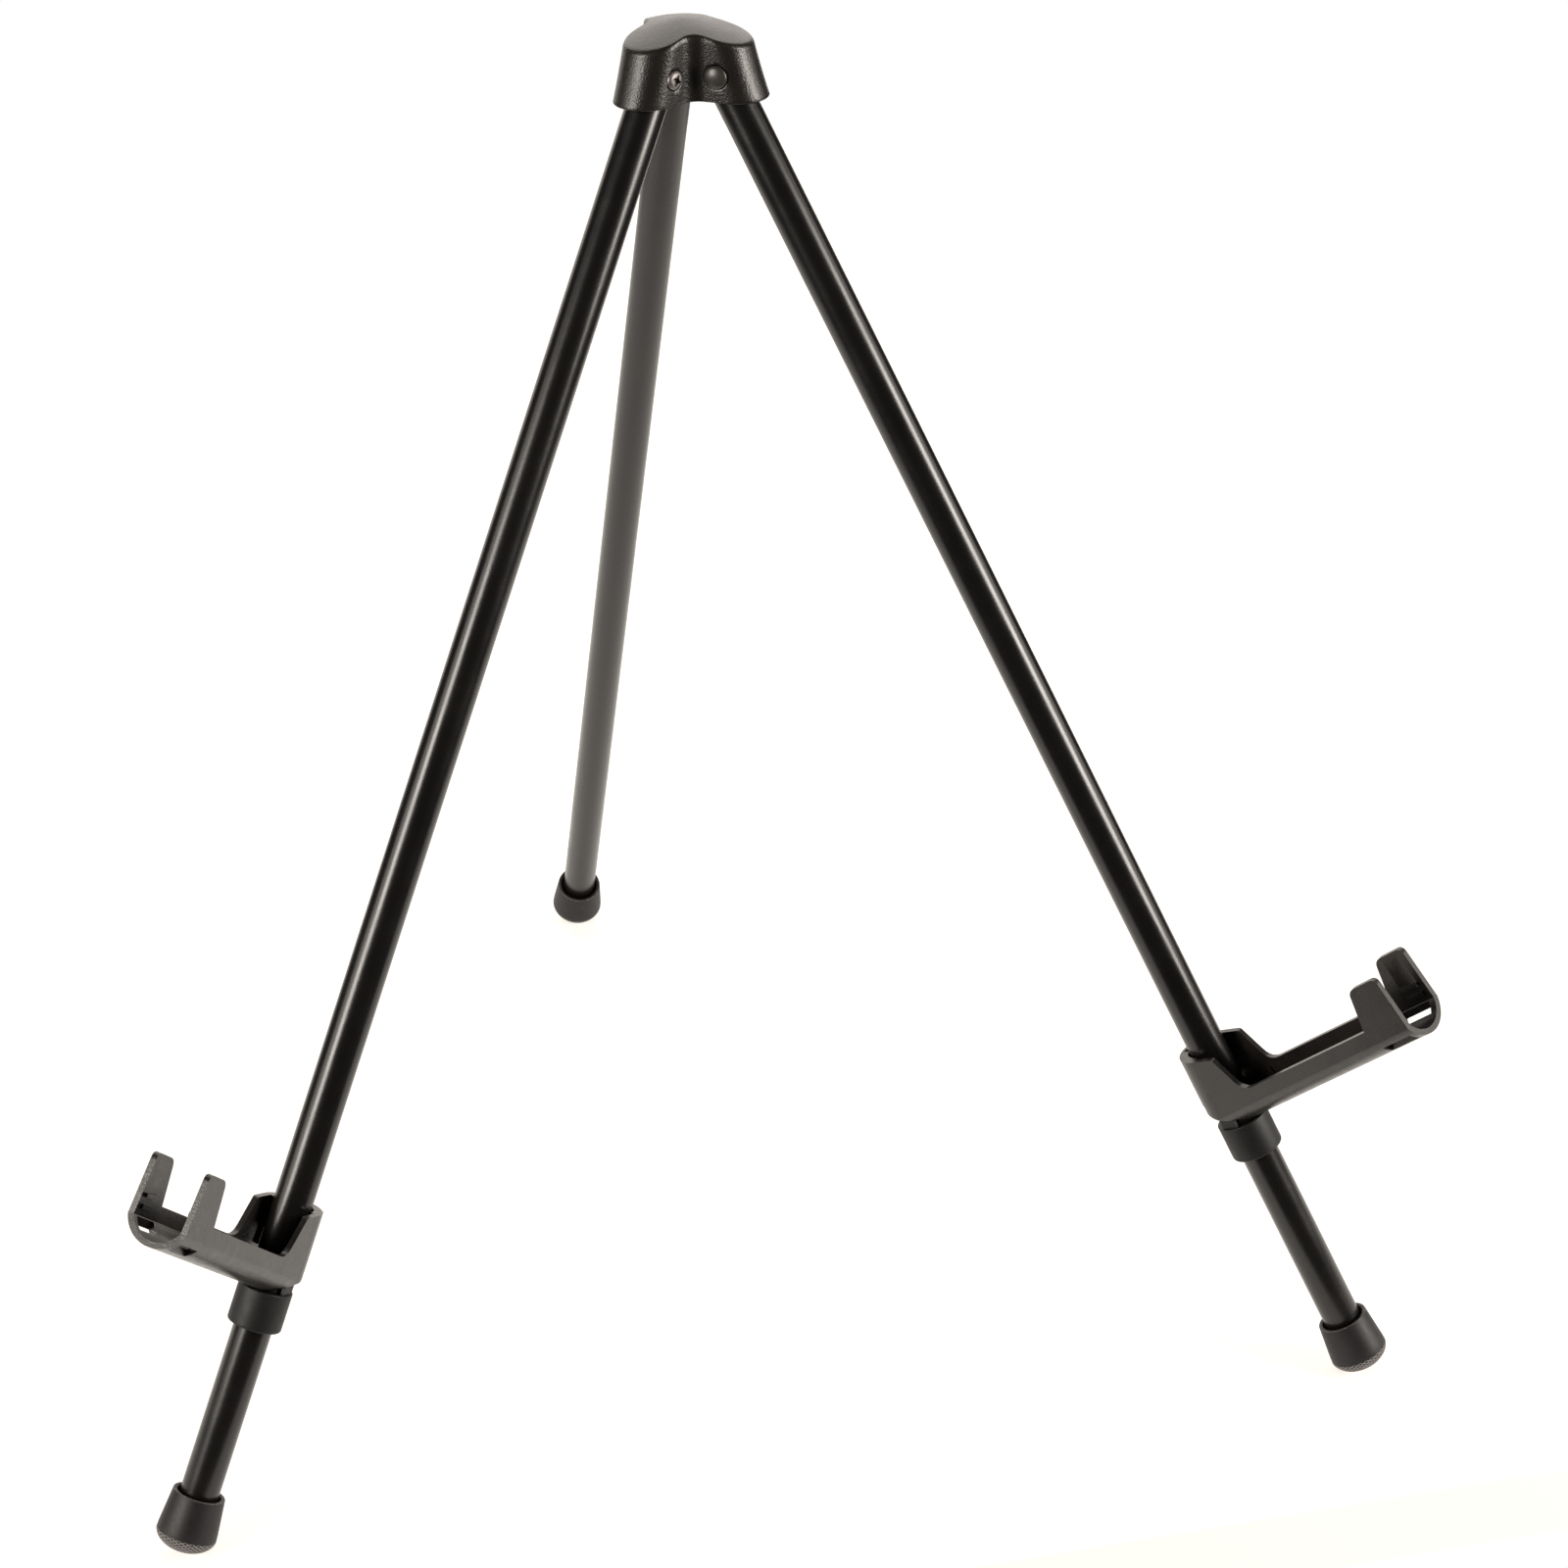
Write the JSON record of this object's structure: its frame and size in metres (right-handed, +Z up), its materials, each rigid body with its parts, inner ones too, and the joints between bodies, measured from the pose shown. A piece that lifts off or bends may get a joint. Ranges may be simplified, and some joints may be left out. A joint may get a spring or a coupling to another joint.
{
  "type": "folding tabletop easel",
  "caption": "Folding tripod tabletop easel: round legs hinged in a lobed head cap, with fold-up channel arms that slide and swivel on the front legs to hold a board, book or sheet.",
  "frame": {"origin": "centre of the footprint's bounding box, on the table surface", "axes": "+Z up; the rear leg points to +Y, so the easel's front faces -Y; +X is to the right seen from the front"},
  "size_m": [0.3302, 0.3354, 0.3548],
  "materials": {
    "cap_enamel": "glossy black enamel on a deep-drawn steel cap",
    "tube_enamel": "semi-gloss black enamel on drawn steel tube",
    "barrel_grey": "satin dark-grey coating on a steel barrel nut",
    "screw_zinc": "dull zinc plate",
    "arm_plastic": "dark-grey injection moulding with a fine spark-eroded texture",
    "collar_nylon": "satin black nylon",
    "hidden_nylon": "plain black nylon",
    "tip_rubber": "matt black rubber with a raised net on its sole"
  },
  "bodies": {
    "head": {"head_cap": "cap_enamel", "left_pivot_barrel": "barrel_grey", "left_pivot_screw": "screw_zinc", "right_pivot_barrel": "barrel_grey", "right_pivot_screw": "screw_zinc", "rear_pivot_barrel": "barrel_grey", "rear_pivot_screw": "screw_zinc"},
    "left_leg": {"left_leg_tube": "tube_enamel", "left_leg_knuckle": "hidden_nylon", "left_rubber_tip": "tip_rubber", "left_tip_washer": "screw_zinc"},
    "right_leg": {"right_leg_tube": "tube_enamel", "right_leg_knuckle": "hidden_nylon", "right_rubber_tip": "tip_rubber", "right_tip_washer": "screw_zinc"},
    "rear_leg": {"rear_leg_tube": "tube_enamel", "rear_leg_knuckle": "hidden_nylon", "rear_rubber_tip": "tip_rubber", "rear_tip_washer": "screw_zinc"},
    "left_bush": {"left_friction_bush": "hidden_nylon"},
    "left_collar": {"left_slider_collar": "collar_nylon"},
    "left_arm": {"left_holder_arm": "arm_plastic"},
    "right_bush": {"right_friction_bush": "hidden_nylon"},
    "right_collar": {"right_slider_collar": "collar_nylon"},
    "right_arm": {"right_holder_arm": "arm_plastic"}
  },
  "joints": [
    {"name": "left_leg_fold", "type": "hinge", "parent": "head", "child": "left_leg", "pos_m": [-0.0093, -0.03553, 0.34294], "axis": [0.5566, -0.8308, 0], "range_deg": [0, 26]},
    {"name": "right_leg_fold", "type": "hinge", "parent": "head", "child": "right_leg", "pos_m": [0.0093, -0.03553, 0.34294], "axis": [0.5566, 0.8308, 0], "range_deg": [0, 26]},
    {"name": "rear_leg_fold", "type": "hinge", "parent": "head", "child": "rear_leg", "pos_m": [0, -0.0181, 0.34294], "axis": [-1, 0, 0], "range_deg": [0, 26]},
    {"name": "left_height_slide", "type": "slide", "parent": "left_leg", "child": "left_bush", "axis": [-0.3916, -0.2623, -0.882], "range_m": [-0.21, 0.04]},
    {"name": "right_height_slide", "type": "slide", "parent": "right_leg", "child": "right_bush", "axis": [0.3916, -0.2623, -0.882], "range_m": [-0.21, 0.04]},
    {"name": "left_collar_swivel", "type": "hinge", "parent": "left_bush", "child": "left_collar", "pos_m": [-0.12917, -0.11583, 0.06969], "axis": [0.3916, 0.2623, 0.882], "continuous": true},
    {"name": "right_collar_swivel", "type": "hinge", "parent": "right_bush", "child": "right_collar", "pos_m": [0.12553, -0.1134, 0.07789], "axis": [-0.3916, 0.2623, 0.882], "continuous": true},
    {"name": "left_arm_fold", "type": "hinge", "parent": "left_collar", "child": "left_arm", "pos_m": [-0.12917, -0.11583, 0.06969], "axis": [-0.7603, 0.6321, 0.1496], "range_deg": [0, 74]},
    {"name": "right_arm_fold", "type": "hinge", "parent": "right_collar", "child": "right_arm", "pos_m": [0.12553, -0.1134, 0.07789], "axis": [-0.7418, -0.6572, -0.1339], "range_deg": [0, 74]}
  ]
}
